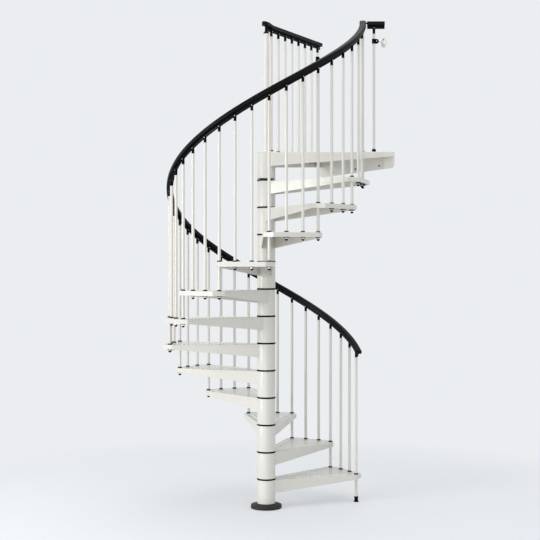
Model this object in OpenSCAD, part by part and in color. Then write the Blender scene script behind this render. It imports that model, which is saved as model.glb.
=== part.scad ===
// Spiral staircase of folded sheet steel: twelve treads stacked on a centre pole, a landing that
// is bolted to a wall, slim round posts, and one long handrail that winds round them.
// Millimetres and degrees. The origin is on the column's axis at floor level, +Z is up, and +X
// points squarely at the wall that carries the landing. Seen from above, the stair climbs
// counter-clockwise.

/* [Stair] */
// Rise from one tread to the next
riser_h = 210; // [205:1:220]
// Turn from one tread to the next
tread_turn = 28.34; // [27.9:0.01:28.5]
// Direction of the first tread's middle line
first_tread_dir = 0.86; // [0:0.01:2]
// Thickness of the folded sheet steel
sheet_t = 4; // [3:0.5:5]

/* [Column] */
// Outside diameter of the column
column_d = 140; // [136:1:144]
// Outside diameter of the centre pole, which is also the newel on the landing
pole_d = 44; // [40:1:48]
// Outside diameter of the black spacer rings
ring_d = 144; // [142:1:150]
// Height of a black spacer ring
ring_h = 12; // [10:1:14]
// Diameter of the steel base plate
base_plate_d = 220; // [210:1:226]
// Thickness of the steel base plate
base_plate_h = 8; // [6:1:10]
// Pitch circle of the floor anchors
anchor_pcd = 180; // [176:1:184]
// Diameter of the floor anchor holes
anchor_hole_d = 12; // [10:0.5:14]
// Diameter of the moulded cover over the base plate
cover_d = 240; // [236:1:250]

/* [Tread] */
// Distance from the axis to the flat outer edge
tread_reach = 780; // [776:1:800]
// Half the length of the flat outer edge
tread_tip_half = 170; // [165:1:172]
// Distance from the axis to the corners at the tread's widest place
tread_wide_x = 701; // [698:1:706]
// Half the tread's greatest width
tread_wide_half = 221; // [219:1:224]
// Half the distance between the side edges, where they would meet the axis
tread_root_half = 41; // [36:1:46]
// Depth of the folded edge at the outer end
edge_band = 35; // [32:1:40]
// Depth of the folded sides, measured at the axis
root_depth = 106; // [100:1:112]

/* [Landing] */
// Distance from the axis to the wall
wall_x = 800; // [800:1:806]
// Length of the landing's wall edge on the side where the stair arrives
landing_near = 579; // [570:1:586]
// Length of the landing's wall edge on the other side
landing_far = 472; // [466:1:480]
// Depth of the wall flange
flange_depth = 123; // [118:1:128]
// Distance between the wall bolts
wall_bolt_pitch = 326; // [320:1:330]
// Diameter of the wall bolt holes
wall_bolt_d = 9; // [8:0.5:12]

/* [Balustrade] */
// Diameter of the posts
post_d = 22; // [20:0.5:24]
// Radius of the circle of posts
post_circle_r = 745; // [743:1:747]
// Height of the first post
first_post_h = 1147; // [1100:1:1180]
// Height of the posts above the landing
landing_post_h = 929; // [900:1:960]
// Gap between a post's top and the underside of the handrail
rail_gap = 31; // [29:1:33]
// Width of the handrail
rail_w = 50; // [46:1:52]
// Height of the handrail, from the underside of its strip to its crown
rail_h = 57; // [55:1:60]
// Thickness of the strip that stands under the handrail's head
strip_t = 5; // [4:0.5:6]
// Height of the strip below the head
strip_h = 25; // [22:1:27]

/* [Hidden] */
tread_count = 12;
posts_per_tread = 3;
last_post = tread_count * posts_per_tread;
two_digits = [for (t = [1 : tread_count]) str(t < 10 ? "0" : "", t)];

$fn = 48;

// Colours
white_paint = "whitesmoke";
black_plastic = [0.10, 0.10, 0.11];
bare_steel = "silver";

// Rise and turn from one post to the next
post_turn = tread_turn / posts_per_tread;
post_rise = riser_h / posts_per_tread;

// Heights of the tread tops, of which the last is the landing's
function tread_z(t) = base_plate_h + riser_h * t;
landing_z = tread_z(tread_count + 1);
function tread_dir(t) = first_tread_dir + tread_turn * (t - 1);

// Posts are counted from the foot of the stair. A post whose number divides by three passes
// through the tread above the one that it stands on.
function post_dir(k) = first_tread_dir - tread_turn / 2 + post_turn * k;
function post_top(k) = first_post_h + post_rise * k;
function post_tread(k) = ceil(k / posts_per_tread);
// A post runs this far below the top of its tread or of the landing, to the washer of its nut
post_drop = 31;
landing_post_drop = 9;

// Clearances on the diameter: the pole in its bores, and the posts in their holes
pole_play = 1;
post_play = 0.4;
// Cutters stand this far proud of what they cut
proud = 1;

// Moulded collars and sockets on the posts, and the nuts on their ends
collar_d = 33;
collar_h = 9;
socket_d = 31;
socket_h = 40;
nut_washer_d = 38;
nut_washer_h = 8;
nut_d = 20;
nut_h = 9;
nut_cap_d = 23;
nut_cap_h = 13;

// Landing balustrade: a straight line of posts beside the newel, from the first to the last
landing_post_count = 8;
landing_line_start = [76, 54];
landing_line_end = [728, 405];
landing_line = landing_line_end - landing_line_start;
landing_line_dir = atan2(landing_line.y, landing_line.x);
landing_line_len = norm(landing_line);
landing_post_top = landing_z + landing_post_h;

// The near rail crosses from the handrail's top end to the wall, over one post. The post is a
// little taller than the rest, and the rail stands higher above it.
near_post_at = [728, -409];
near_post_top = landing_post_top + 5;
near_rail_gap = rail_gap + 8;
near_rail_dir = -30;
near_rail_start = -52;
near_rail_end = (wall_x - 1 - near_post_at.x) / cos(near_rail_dir);

// The newel ends a little above the posts
newel_top = landing_post_top + 4;

// Middle of the row of wall bolts, and its distance below the landing's top
wall_bolt_mid_y = -60;
wall_bolt_down = 93;

// Slope of the handrail along the circle of posts
post_arc = post_circle_r * post_turn * PI / 180;
rail_slope = atan2(post_rise, post_arc);
// The handrail's ends, counted in posts
rail_first = -0.32;
rail_last = 36.25;

// ---------------------------------------------------------------------------------- helpers

// An outline with every edge moved inwards by t. The outline is convex and counter-clockwise.
function unit(v) = v / norm(v);
function inward(a, b) = let (d = unit(b - a)) [-d.y, d.x];
function inset(p, t) = let (n = len(p)) [
    for (i = [0 : n - 1])
        let (n1 = inward(p[(i + n - 1) % n], p[i]), n2 = inward(p[i], p[(i + 1) % n]))
            p[i] + t * (n1 + n2) / (1 + n1 * n2)];

// A skin over rings of points that all have the same count, closed by a flat cap at each end
module loft(rings) {
    n = len(rings[0]);
    last = len(rings) - 1;
    sides = [
        for (i = [0 : last - 1], j = [0 : n - 1])
            let (a = i * n + j, b = i * n + (j + 1) % n)
                [a, b, b + n, a + n]];
    caps = [[for (j = [n - 1 : -1 : 0]) j], [for (j = [0 : n - 1]) last * n + j]];
    polyhedron([for (ring = rings) each ring], concat(sides, caps), convexity = 10);
}

module at_post(k, z) {
    rotate(post_dir(k)) translate([post_circle_r, 0, z]) children();
}

module along_landing(s, z) {
    translate([landing_line_start.x, landing_line_start.y, z])
        rotate(landing_line_dir) translate([s, 0, 0]) children();
}

module at_landing_post(i, z) {
    along_landing(landing_line_len * i / (landing_post_count - 1), z) children();
}

module at_near_post(z) {
    translate([near_post_at.x, near_post_at.y, z]) rotate(near_rail_dir) children();
}

// A cutter for a hole of diameter d that goes down through h from z = 0
module drill(d, h) {
    translate([0, 0, -h - proud]) cylinder(d = d, h = h + 2 * proud);
}

module tube(d, bore, h) {
    difference() {
        cylinder(d = d, h = h);
        translate([0, 0, h]) drill(bore, h);
    }
}

// ---------------------------------------------------------------------------- base and column

module base_plate() {
    color(bare_steel)
    difference() {
        cylinder(d = base_plate_d, h = base_plate_h);
        for (a = [45 : 90 : 315])
            rotate(a) translate([anchor_pcd / 2, 0, base_plate_h])
                drill(anchor_hole_d, base_plate_h);
    }
}

// A moulded ring: an upright rim, then a shallow slope up to a collar round the column
module base_cover() {
    wall = 3;
    outer = cover_d / 2;
    column_play = 1.5;
    inner = column_d / 2 + column_play;
    rim_h = 23;
    shoulder_w = 4;
    shoulder_h = 27;
    lip_w = 4;
    lip_h = 38;
    slope_w = 10;
    slope_h = 35;
    color(black_plastic)
    rotate_extrude($fn = 96)
        polygon([
            [outer, 0], [outer, rim_h], [outer - shoulder_w, shoulder_h],
            [inner + slope_w, slope_h], [inner + lip_w, lip_h], [inner, lip_h],
            [inner, slope_h - 2 * wall], [inner + slope_w, slope_h - wall],
            [outer - shoulder_w, shoulder_h - wall], [outer - wall, rim_h - wall],
            [outer - wall, 0]]);
}

module centre_pole() {
    color(white_paint)
    translate([0, 0, base_plate_h])
        cylinder(d = pole_d, h = newel_top - base_plate_h);
}

module spacer_rings() {
    color(black_plastic)
    for (t = [1 : tread_count])
        translate([0, 0, tread_z(t)]) tube(ring_d, pole_d + pole_play, ring_h);
}

// ------------------------------------------------------------------------------------- treads

tread_outline = [
    [0, -tread_root_half], [tread_wide_x, -tread_wide_half], [tread_reach, -tread_tip_half],
    [tread_reach, tread_tip_half], [tread_wide_x, tread_wide_half], [0, tread_root_half]];

// The folded edge under a plate: a thin wall along its outline, whose depth falls from the
// axis to an even band at band_from and beyond. The outline is convex.
module folded_edge(outline, reach, band_from) {
    intersection() {
        translate([0, 0, -root_depth]) linear_extrude(root_depth)
            difference() {
                polygon(outline);
                polygon(inset(outline, sheet_t));
            }
        rotate([90, 0, 0]) linear_extrude(2 * reach, center = true)
            polygon([
                [0, 0], [0, -root_depth], [band_from, -edge_band],
                [reach + proud, -edge_band], [reach + proud, 0]]);
    }
}

// A plate with its folded edge, welded to a length of column. The plate's top is at z = 0, and
// the column runs from head_h above it to hub_h below it.
module step_body(outline, reach, band_from, hub_h, head_h) {
    difference() {
        union() {
            translate([0, 0, -sheet_t]) linear_extrude(sheet_t) polygon(outline);
            folded_edge(outline, reach, band_from);
            translate([0, 0, -hub_h]) cylinder(d = column_d, h = hub_h + head_h);
        }
        translate([0, 0, -sheet_t]) drill(column_d - 2 * sheet_t, hub_h - sheet_t);
        translate([0, 0, head_h]) drill(pole_d + pole_play, head_h + sheet_t + proud);
    }
}

module post_hole() {
    drill(post_d + post_play, sheet_t);
}

module tread(t) {
    hub_h = t == 1 ? riser_h : riser_h - ring_h;
    color(white_paint)
    translate([0, 0, tread_z(t)]) rotate(tread_dir(t))
        difference() {
            step_body(tread_outline, tread_reach, tread_wide_x, hub_h, 0);
            for (i = [0 : posts_per_tread])
                rotate((i - posts_per_tread / 2) * post_turn)
                    translate([post_circle_r, 0, 0]) post_hole();
        }
}

// ------------------------------------------------------------------------------------ landing

// The landing's straight sides run at a tangent to the column
function tangent_root(y, r) =
    let (a = asin(r / norm([wall_x, y])), b = atan2(abs(y), wall_x)) r / cos(b - a);
landing_outline = [
    [0, -tangent_root(landing_near, column_d / 2)], [wall_x, -landing_near],
    [wall_x, landing_far], [0, tangent_root(landing_far, column_d / 2)]];

module wall_flange() {
    chamfer = [24, 21];
    width = landing_near + landing_far;
    difference() {
        translate([wall_x, -landing_near, 0]) rotate([90, 0, -90]) mirror([1, 0, 0])
            linear_extrude(sheet_t)
                polygon([
                    [0, 0], [0, chamfer.y - flange_depth], [chamfer.x, -flange_depth],
                    [width - chamfer.x, -flange_depth], [width, chamfer.y - flange_depth],
                    [width, 0]]);
        for (i = [-1 : 1])
            translate([wall_x, wall_bolt_mid_y + i * wall_bolt_pitch, -wall_bolt_down])
                rotate([0, 90, 0]) drill(wall_bolt_d, sheet_t);
    }
}

module landing() {
    hub_h = riser_h - ring_h;
    head_h = 9;
    color(white_paint)
    difference() {
        translate([0, 0, landing_z]) {
            step_body(landing_outline, wall_x, wall_x - 1, hub_h, head_h);
            wall_flange();
        }
        for (i = [0 : landing_post_count - 1]) at_landing_post(i, landing_z) post_hole();
        at_near_post(landing_z) post_hole();
        at_post(last_post, landing_z) post_hole();
    }
}

// -------------------------------------------------------------------------------------- posts

module post(k) {
    foot = k == 0 ? 0 : tread_z(post_tread(k)) - post_drop;
    at_post(k, foot) cylinder(d = post_d, h = post_top(k) - foot);
}

module first_post() {
    color(white_paint) post(0);
}

// A moulded foot: broad at the floor, waisted, with a collar at its top
module first_post_foot() {
    foot_r = 20;
    flat_h = 4;
    waist_r = 14.5;
    flare_h = 13;
    collar_r = 16;
    collar_from = 30;
    foot_h = 43;
    ease = 1.5;
    color(black_plastic)
    at_post(0, 0)
        rotate_extrude()
            polygon([
                [post_d / 2, 0], [foot_r, 0], [foot_r, flat_h], [waist_r, flare_h],
                [waist_r, collar_from - ease], [collar_r, collar_from],
                [collar_r, foot_h - ease], [collar_r - ease, foot_h], [post_d / 2, foot_h]]);
}

module posts(t) {
    color(white_paint)
    for (i = [1 : posts_per_tread]) post(posts_per_tread * (t - 1) + i);
}

module landing_posts() {
    foot = landing_z - landing_post_drop;
    color(white_paint)
    for (i = [0 : landing_post_count - 1])
        at_landing_post(i, foot) cylinder(d = post_d, h = landing_post_top - foot);
}

module near_post() {
    foot = landing_z - landing_post_drop;
    color(white_paint)
    at_near_post(foot) cylinder(d = post_d, h = near_post_top - foot);
}

// A low collar round every post of the helix, where it meets a tread or the landing. Its upper
// edge is eased.
module collar() {
    ease = 1.5;
    difference() {
        union() {
            cylinder(d = collar_d, h = collar_h - ease);
            translate([0, 0, collar_h - ease])
                cylinder(d1 = collar_d, d2 = collar_d - 2 * ease, h = ease);
        }
        translate([0, 0, collar_h]) drill(post_d, collar_h);
    }
}

module post_collars() {
    color(black_plastic) {
        for (t = [1 : tread_count], i = [0 : posts_per_tread])
            at_post(posts_per_tread * (t - 1) + i, tread_z(t)) collar();
        at_post(last_post, landing_z) collar();
    }
}

// The straight balustrade's posts and the near post stand in tall sockets
module landing_sockets() {
    color(black_plastic) {
        for (i = [0 : landing_post_count - 1])
            at_landing_post(i, landing_z) tube(socket_d, post_d, socket_h);
        at_near_post(landing_z) tube(socket_d, post_d, socket_h);
    }
}

// Places children at the foot of every post that passes through a tread
module at_tread_nuts() {
    for (k = [1 : last_post]) at_post(k, tread_z(post_tread(k)) - post_drop) children();
}

module at_nuts() {
    at_tread_nuts() children();
    for (i = [0 : landing_post_count - 1])
        at_landing_post(i, landing_z - landing_post_drop) children();
    at_near_post(landing_z - landing_post_drop) children();
}

module nut_washers() {
    color(black_plastic)
    at_nuts() translate([0, 0, -nut_washer_h]) cylinder(d = nut_washer_d, h = nut_washer_h);
}

module post_nuts() {
    color(bare_steel)
    at_nuts() translate([0, 0, -nut_washer_h - nut_h]) cylinder(d = nut_d, h = nut_h);
}

// A moulded dome closes each nut under the treads
module nut_caps() {
    dome_r = nut_cap_d / 2;
    color(black_plastic)
    at_tread_nuts()
        translate([0, 0, dome_r - nut_washer_h - nut_h - nut_cap_h]) {
            sphere(d = nut_cap_d);
            cylinder(d = nut_cap_d, h = nut_cap_h - dome_r);
        }
}

// ---------------------------------------------------------------------------------- handrails

// Half of the head's section, from its underside to its crown. Each point is [distance from the
// middle, height above the strip's underside].
head_r = rail_w / 2;
head_half = [
    [head_r - 3, strip_h], [head_r, strip_h + 3], [head_r, rail_h - 9], [head_r - 1, rail_h - 5],
    [head_r - 4, rail_h - 2], [head_r - 9, rail_h - 0.5], [head_r - 17, rail_h]];
function mirrored(half) = concat(half, [for (i = [len(half) - 1 : -1 : 0]) [-half[i].x, half[i].y]]);
head_section = mirrored(head_half);
// The whole section: the head on its strip
rail_section = mirrored(concat([[strip_t / 2, 0], [strip_t / 2, strip_h]], head_half));

// The section square to the helix, at a place counted in posts
function helix_ring(k) = [
    for (p = rail_section)
        let (
            r = post_circle_r + p.x,
            back = p.y * sin(rail_slope) / post_circle_r * 180 / PI,
            a = post_dir(k) - back)
        [r * cos(a), r * sin(a), post_top(k) + rail_gap + p.y * cos(rail_slope)]];

module handrail() {
    steps_per_post = 3;
    steps = round((rail_last - rail_first) * steps_per_post);
    color(black_plastic)
    loft([
        for (i = [0 : steps]) helix_ring(rail_first + (rail_last - rail_first) * i / steps)]);
}

// The landing's rail is level, but over the newel its head rises, and ends in a round nose. The
// strip starts beside the newel.
rail_rise = 12;
newel_s = -(landing_line * landing_line_start) / landing_line_len;
blend_from = newel_s + 24;
blend_to = newel_s + 102;
blend_steps = 8;
strip_from = newel_s + 12;
landing_rail_end = landing_line_len + 43;
landing_rail_z = landing_post_top + rail_gap;

function smooth(x) = let (c = min(1, max(0, x))) c * c * (3 - 2 * c);
function lift(s) = rail_rise * (1 - smooth((s - blend_from) / (blend_to - blend_from)));
function head_ring(s, spread) = [
    for (p = head_section) [s, -p.x * spread, landing_rail_z + p.y + lift(s)]];
blend_places = [
    for (i = [0 : blend_steps]) blend_from + (blend_to - blend_from) * i / blend_steps];

module landing_rail() {
    nose = [for (a = [75 : -15 : 15]) head_ring(newel_s - head_r * sin(a), cos(a))];
    body = [for (s = concat([newel_s], blend_places, [landing_rail_end])) head_ring(s, 1)];
    into_head = 4;
    color(black_plastic)
    along_landing(0, 0) {
        loft(concat(nose, body));
        translate([0, 0, landing_rail_z]) rotate([90, 0, 0])
            linear_extrude(strip_t, center = true)
                polygon(concat(
                    [[landing_rail_end, 0], [landing_rail_end, strip_h + into_head]],
                    [for (i = [blend_steps : -1 : 0])
                        [blend_places[i], strip_h + into_head + lift(blend_places[i])]],
                    [[strip_from, strip_h + into_head + rail_rise], [strip_from, 0]]));
    }
}

// The near rail, with a moulded cap over each end
module near_rail() {
    end_cap_t = 11;
    color(black_plastic)
    at_near_post(near_post_top + near_rail_gap) {
        straight_rail(near_rail_start, near_rail_end) polygon(rail_section);
        straight_rail(near_rail_start, near_rail_start + end_cap_t) hull() polygon(rail_section);
        straight_rail(near_rail_end - end_cap_t, near_rail_end) hull() polygon(rail_section);
    }
}

module straight_rail(from, to) {
    translate([from, 0, 0]) rotate([90, 0, 90]) linear_extrude(to - from) children();
}

// A short pin that ties the near rail to the side of the handrail
module near_rail_link() {
    link_d = 12;
    link_len = 10;
    link_up = 44;
    color(black_plastic)
    at_near_post(near_post_top + near_rail_gap + link_up)
        translate([near_rail_start - link_len, 0, 0]) rotate([0, 90, 0])
            cylinder(d = link_d, h = link_len);
}

// A round bracket on the top of a post. A slot in it straddles the strip of a rail with the
// given slope and gap, which runs along Y.
module rail_bracket(slope, gap) {
    bracket_d = 21;
    over_strip = 15;
    strip_play = 0.5;
    slot_from = gap - tan(slope) * bracket_d / 2 - strip_play;
    slot_t = strip_t + 2 * strip_play;
    difference() {
        cylinder(d = bracket_d, h = gap + over_strip);
        translate([-slot_t / 2, -bracket_d, slot_from])
            cube([slot_t, 2 * bracket_d, gap + over_strip]);
    }
}

module rail_brackets() {
    color(black_plastic)
    for (k = [0 : last_post]) at_post(k, post_top(k)) rail_bracket(rail_slope, rail_gap);
}

module landing_rail_brackets() {
    color(black_plastic) {
        for (i = [0 : landing_post_count - 1])
            at_landing_post(i, landing_post_top) rotate(90) rail_bracket(0, rail_gap);
        at_near_post(near_post_top) rotate(90) rail_bracket(0, near_rail_gap);
    }
}

// A cap between the newel and the landing rail's nose. It flares out at its foot and its head.
module newel_cap() {
    cap_h = landing_rail_z + strip_h + rail_rise - newel_top;
    foot_r = pole_d / 2 + 1;
    foot_h = 6;
    neck_r = 11;
    neck_from = 34;
    top_r = 16;
    color(black_plastic)
    translate([0, 0, newel_top])
        rotate_extrude()
            polygon([
                [0, 0], [foot_r, 0], [foot_r, foot_h], [neck_r + 7, 12], [neck_r + 3, 20],
                [neck_r, neck_from], [neck_r, cap_h - 20], [neck_r + 2, cap_h - 8],
                [top_r, cap_h], [0, cap_h]]);
}

// ------------------------------------------------------------------------------- wall supports

// Each of the two posts nearest the wall is clamped, and a rod ties the clamp to a round plate
clamp_z = landing_post_top - 52;
clamp_h = 36;
clamp_d = 31;
hinge_reach = 20;
rod_d = 9;
plate_d = 80;
plate_t = 6;
tie_drop = 10;
near_tie = [wall_x, -448];
far_tie = [wall_x, 447];

module at_tie(post_at, tie_at) {
    run = tie_at - post_at;
    translate([post_at.x, post_at.y, clamp_z]) rotate(atan2(run.y, run.x)) children();
}

module wall_clamp() {
    arm_t = 14;
    difference() {
        union() {
            translate([0, 0, -clamp_h / 2]) cylinder(d = clamp_d, h = clamp_h);
            translate([0, -arm_t / 2, -clamp_h / 2]) cube([hinge_reach, arm_t, clamp_h]);
            translate([hinge_reach, arm_t / 2, 0]) rotate([90, 0, 0])
                cylinder(d = clamp_h, h = arm_t);
        }
        translate([0, 0, clamp_h / 2]) drill(post_d, clamp_h);
    }
}

module wall_clamps() {
    color(black_plastic) {
        at_tie(near_post_at, near_tie) wall_clamp();
        at_tie(landing_line_end, far_tie) wall_clamp();
    }
}

// The rod falls by tie_drop on its way from the hinge to the round plate
module wall_rod(run) {
    from = hinge_reach + clamp_h / 2 - 1;
    length = norm(run) - from;
    translate([from, 0, -1]) rotate([0, 90 + atan2(tie_drop, length), 0])
        cylinder(d = rod_d, h = length - plate_t);
}

module wall_rods() {
    color(white_paint) {
        at_tie(near_post_at, near_tie) wall_rod(near_tie - near_post_at);
        at_tie(landing_line_end, far_tie) wall_rod(far_tie - landing_line_end);
    }
}

module wall_plates() {
    color(white_paint)
    for (tie = [near_tie, far_tie])
        translate([wall_x - plate_t, tie.y, clamp_z - tie_drop]) rotate([0, 90, 0])
            cylinder(d = plate_d, h = plate_t);
}

// ---------------------------------------------------------------------------------------- all

base_plate();
base_cover();
centre_pole();
spacer_rings();
for (t = [1 : tread_count]) {
    tread(t);
    posts(t);
}
landing();
first_post();
first_post_foot();
landing_posts();
near_post();
post_collars();
landing_sockets();
nut_washers();
post_nuts();
nut_caps();
handrail();
landing_rail();
near_rail();
near_rail_link();
rail_brackets();
landing_rail_brackets();
newel_cap();
wall_clamps();
wall_rods();
wall_plates();
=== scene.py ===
"""Looks of the spiral staircase: powder-coated steel, moulded black fittings and a black rail.

Metres, in the same frame as the CAD: the origin is on the column's axis at floor level, +Z is up
and +X points at the wall that carries the landing. Plans, profiles and other small sizes are
written in millimetres: lathe() and block() scale theirs, and MM scales the rest.
"""

import math

import bmesh
import bpy
from mathutils import Matrix, Vector


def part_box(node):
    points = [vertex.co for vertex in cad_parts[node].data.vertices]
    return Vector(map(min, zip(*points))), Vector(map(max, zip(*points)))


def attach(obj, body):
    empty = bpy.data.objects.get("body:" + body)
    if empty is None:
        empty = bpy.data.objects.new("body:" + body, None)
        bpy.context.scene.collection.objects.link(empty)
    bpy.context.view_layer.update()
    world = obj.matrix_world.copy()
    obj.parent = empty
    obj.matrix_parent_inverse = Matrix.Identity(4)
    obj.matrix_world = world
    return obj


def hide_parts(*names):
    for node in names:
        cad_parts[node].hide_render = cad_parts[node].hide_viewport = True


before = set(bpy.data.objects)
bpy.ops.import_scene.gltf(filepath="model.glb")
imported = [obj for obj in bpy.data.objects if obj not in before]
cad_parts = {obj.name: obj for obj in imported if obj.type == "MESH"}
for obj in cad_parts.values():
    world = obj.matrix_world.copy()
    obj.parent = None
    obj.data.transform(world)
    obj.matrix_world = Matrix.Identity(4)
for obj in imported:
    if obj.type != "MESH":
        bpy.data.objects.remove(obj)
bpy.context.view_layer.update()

MM = 0.001
BODY = "root"
TREADS = 12
POSTS_PER_TREAD = 3
LAST_POST = TREADS * POSTS_PER_TREAD

# ------------------------------------------------------------------ sizes read from the frame


def top_of(node):
    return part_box(node)[1].z


def middle_of(node):
    low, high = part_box(node)
    return (low + high) / 2


def radius_of(node):
    """Outer radius of a node that is round about an upright axis."""
    low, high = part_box(node)
    return (high.x - low.x) / 2


def tread_name(t):
    return f"tread_{t:02d}"


RISER = top_of(tread_name(2)) - top_of(tread_name(1))
FIRST_TREAD_TOP = top_of(tread_name(1))
LANDING_TOP = top_of("landing")
WALL_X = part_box("landing")[1].x

# Turn from one tread to the next, and the direction of the first tread's middle line
TURN = math.radians(28.34)
FIRST_DIR = math.radians(0.86)
POST_TURN = TURN / POSTS_PER_TREAD
POST_RISE = RISER / POSTS_PER_TREAD

FIRST_POST_AT = middle_of("first_post").xy
FIRST_POST_DIR = math.atan2(FIRST_POST_AT.y, FIRST_POST_AT.x)
FIRST_POST_TOP = top_of("first_post")
POST_CIRCLE = FIRST_POST_AT.length
POST_R = radius_of("first_post")
LANDING_POST_TOP = top_of("landing_posts")
LANDING_POSTS = 8
NEAR_POST_AT = middle_of("near_post").xy
NEAR_POST_TOP = top_of("near_post")
NEAR_RAIL_DIR = math.radians(-30)

COLUMN_R = 70 * MM
RING_R = radius_of("spacer_rings")
RING_H = 12 * MM
SHEET = 4 * MM

# Gap between a post's top and the underside of a rail, and the rail's section
RAIL_GAP = 31 * MM
NEAR_GAP = RAIL_GAP + 8 * MM
RAIL_H = 57 * MM
RAIL_W = 50 * MM
STRIP_T = 5 * MM
STRIP_H = 25 * MM

# ------------------------------------------------------------------------------------- places


def post_dir(k):
    """Direction of post k of the helix, counted from the foot of the stair."""
    return FIRST_POST_DIR + POST_TURN * k


def post_top(k):
    return FIRST_POST_TOP + POST_RISE * k


def tread_top(t):
    return FIRST_TREAD_TOP + RISER * (t - 1)


def first_set():
    """The numbers of the posts that stand on the first tread."""
    return range(1, POSTS_PER_TREAD + 1)


def rotation(axis, degrees):
    return Matrix.Rotation(math.radians(degrees), 4, axis)


def raised(z):
    return Matrix.Translation((0, 0, z))


def turned(angle, x, y, z):
    return Matrix.Translation((x, y, z)) @ Matrix.Rotation(angle, 4, "Z")


def pointing(direction):
    """The turn that takes +Z to a direction."""
    return Vector((0, 0, 1)).rotation_difference(Vector(direction)).to_matrix().to_4x4()


def at_helix(k, z):
    """On the circle of posts at post k, with X away from the column."""
    a = post_dir(k)
    return turned(a, POST_CIRCLE * math.cos(a), POST_CIRCLE * math.sin(a), z)


def landing_line():
    """Start, step and direction of the line of landing posts."""
    low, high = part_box("landing_posts")
    start = Vector((low.x + POST_R, low.y + POST_R, 0))
    end = Vector((high.x - POST_R, high.y - POST_R, 0))
    step = (end - start) / (LANDING_POSTS - 1)
    return start, step, math.atan2(step.y, step.x)


LINE_START, LINE_STEP, LINE_DIR = landing_line()


def at_line_start(z):
    """On the first landing post, with X along the level rail."""
    return turned(LINE_DIR, LINE_START.x, LINE_START.y, z)


def at_near_post(z):
    """On the arrival post, with X along its short rail."""
    return turned(NEAR_RAIL_DIR, NEAR_POST_AT.x, NEAR_POST_AT.y, z)


# The turn of a fixing that stands out from the wall, and of one that sits across a straight rail
FACING_ROOM = rotation("Y", -90)
ACROSS = rotation("Z", 90)

# --------------------------------------------------------------------- nodes as Python maths


class Wire:
    """An output socket that takes part in Python arithmetic, adding Math nodes as it goes."""

    def __init__(self, tree, socket):
        self.tree = tree
        self.socket = socket

    def _math(self, operation, a, b):
        return self.tree.node("ShaderNodeMath", {"operation": operation}, {0: a, 1: b})

    def __add__(self, other):
        return self._math("ADD", self, other)

    def __radd__(self, other):
        return self._math("ADD", other, self)

    def __sub__(self, other):
        return self._math("SUBTRACT", self, other)

    def __rsub__(self, other):
        return self._math("SUBTRACT", other, self)

    def __mul__(self, other):
        return self._math("MULTIPLY", self, other)

    def __rmul__(self, other):
        return self._math("MULTIPLY", other, self)

    def __truediv__(self, other):
        return self._math("DIVIDE", self, other)

    def __rtruediv__(self, other):
        return self._math("DIVIDE", other, self)

    def other(self, name):
        """Another output of the same node."""
        return Wire(self.tree, self.socket.node.outputs[name])


class Tree:
    """A shader or geometry tree that is written one call to a node."""

    def __init__(self, node_tree):
        self.nodes = node_tree.nodes
        self.links = node_tree.links

    def node(self, kind, settings=None, sockets=None, output=0):
        """Adds a node: its settings first, then the values or links of its sockets."""
        made = self.nodes.new(kind)
        for name, value in (settings or {}).items():
            setattr(made, name, value)
        for key, value in (sockets or {}).items():
            self.join(value, made.inputs[key])
        return Wire(self, made.outputs[output]) if len(made.outputs) else made

    def join(self, value, target):
        if isinstance(value, Wire):
            self.links.new(value.socket, target)
        else:
            target.default_value = value


# ------------------------------------------------------------------------------- materials


class Finish(Tree):
    """A material's tree, with its surface pattern in object coordinates (metres)."""

    def __init__(self, name):
        self.material = bpy.data.materials.new(name)
        self.material.use_nodes = True
        super().__init__(self.material.node_tree)
        self.nodes.clear()
        self.place = self.node("ShaderNodeTexCoord", output="Object")

    def noise(self, scale, detail, stretch=None):
        place = self.place
        if stretch:
            place = self.node(
                "ShaderNodeMapping", {"vector_type": "POINT"}, {"Vector": place, "Scale": stretch})
        return self.node(
            "ShaderNodeTexNoise", sockets={"Vector": place, "Scale": scale, "Detail": detail})

    def blend(self, amount, a, b):
        """Colour a where amount is 0 and colour b where it is 1."""
        mix = self.node("ShaderNodeMix", {"data_type": "RGBA"}, {"Factor": amount}, output=2)
        colours = [s for s in mix.socket.node.inputs if s.type == "RGBA"]
        self.join(a, colours[0])
        self.join(b, colours[1])
        return mix

    def between(self, value, low, high):
        """Value rescaled from low..high to 0..1 and kept inside it."""
        return self.node(
            "ShaderNodeMapRange", {"clamp": True},
            {"Value": value, "From Min": low, "From Max": high})

    def bump(self, height, distance, strength, under=None):
        """A relief of this depth (mm), on top of the relief under it."""
        sockets = {"Height": height, "Distance": distance * MM, "Strength": strength}
        if under:
            sockets["Normal"] = under
        return self.node("ShaderNodeBump", sockets=sockets)

    def surface(self, **sockets):
        """Closes the tree with one Principled shader."""
        shader = self.node(
            "ShaderNodeBsdfPrincipled",
            sockets={name.replace("_", " "): value for name, value in sockets.items()})
        self.node("ShaderNodeOutputMaterial", sockets={"Surface": shader})
        return self.material


def colour(tone, r=1.0, g=1.0, b=1.0):
    """A tone as a colour socket takes it, with its channels scaled."""
    return (tone[0] * r, tone[1] * g, tone[2] * b, 1.0)


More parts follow.
